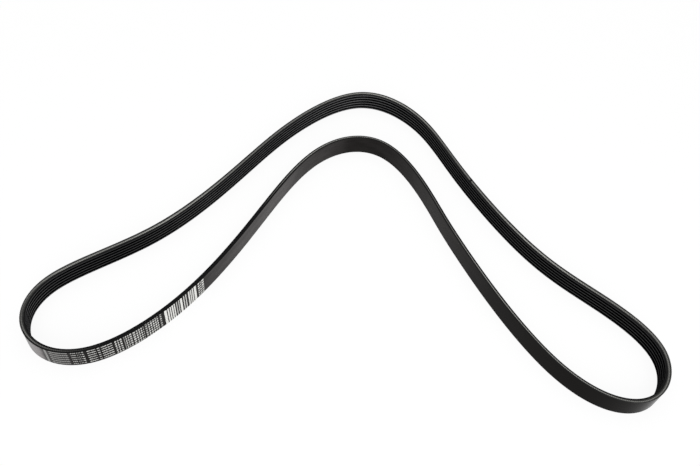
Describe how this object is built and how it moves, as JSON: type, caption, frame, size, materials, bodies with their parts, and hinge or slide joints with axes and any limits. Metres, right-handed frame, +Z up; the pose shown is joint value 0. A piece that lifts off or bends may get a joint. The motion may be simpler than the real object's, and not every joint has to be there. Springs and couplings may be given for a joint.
{
  "type": "serpentine belt",
  "caption": "Endless multi-ribbed rubber drive belt with a smooth back, standing on its cut edge in a loose arched loop.",
  "frame": {"origin": "on the surface that the belt stands on, under the middle of the loop's outer box", "axes": "+Z up across the belt's width, from the lower cut edge to the upper one; +X along the longer side of the loop, to the right in the picture; +Y away from the camera, towards the crown of the arch"},
  "size_m": [0.5536, 0.3562, 0.0214],
  "materials": {
    "belt_rubber": "matte",
    "white_ink": "matte"
  },
  "bodies": {
    "root": {"belt": "belt_rubber"}
  },
  "joints": []
}
